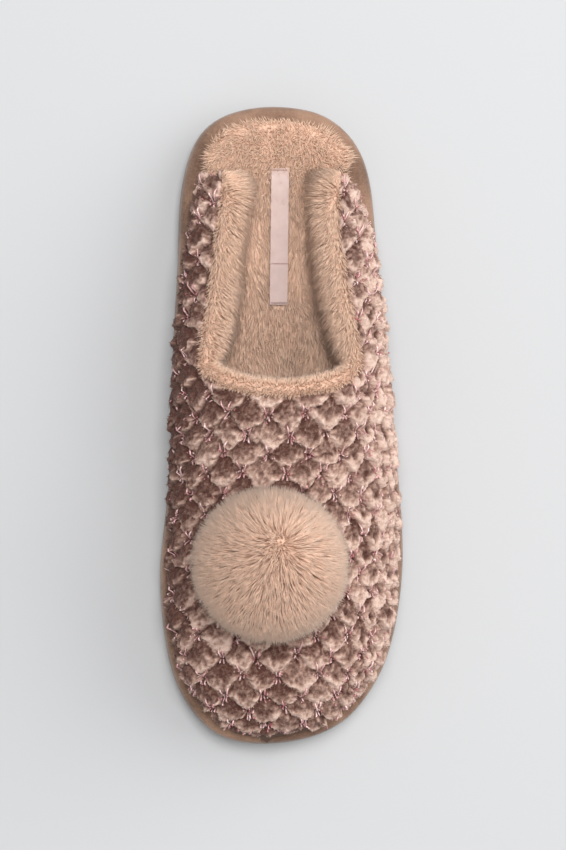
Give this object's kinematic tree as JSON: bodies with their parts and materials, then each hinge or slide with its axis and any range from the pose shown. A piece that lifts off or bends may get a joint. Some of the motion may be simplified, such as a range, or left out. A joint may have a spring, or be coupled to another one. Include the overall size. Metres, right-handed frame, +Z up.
{
  "type": "knitted slipper",
  "caption": "Left backless slipper with a chunky chenille knit upper, fur lining and insole, a wrapped platform sole and a large fur pompom on the vamp.",
  "frame": {"origin": "on the floor, below the middle of the slipper's bounding box", "axes": "+Z up, +Y from the toe to the heel, +X to the outer side of the foot; the slipper is a left one, so its inner side is at -X"},
  "size_m": [0.098, 0.256, 0.0964],
  "materials": {
    "sole_rubber": "matt brown thermoplastic rubber with cross ribs",
    "wrapped_suede": "taupe suede cloth wrapped over a foam platform",
    "insole_fur": "short beige plush fur",
    "chenille_knit": "taupe chenille yarn with a fine pink metallic thread, on a soft backing",
    "lining_fur": "beige plush fur",
    "pompom_fur": "dense long beige fur",
    "woven_tag": "plain pale pink woven tape"
  },
  "bodies": {
    "root": {"outsole": "sole_rubber", "midsole": "wrapped_suede", "insole": "insole_fur", "upper": "chenille_knit", "collar_fur": "lining_fur", "pompom": "pompom_fur", "tag": "woven_tag"}
  },
  "joints": []
}
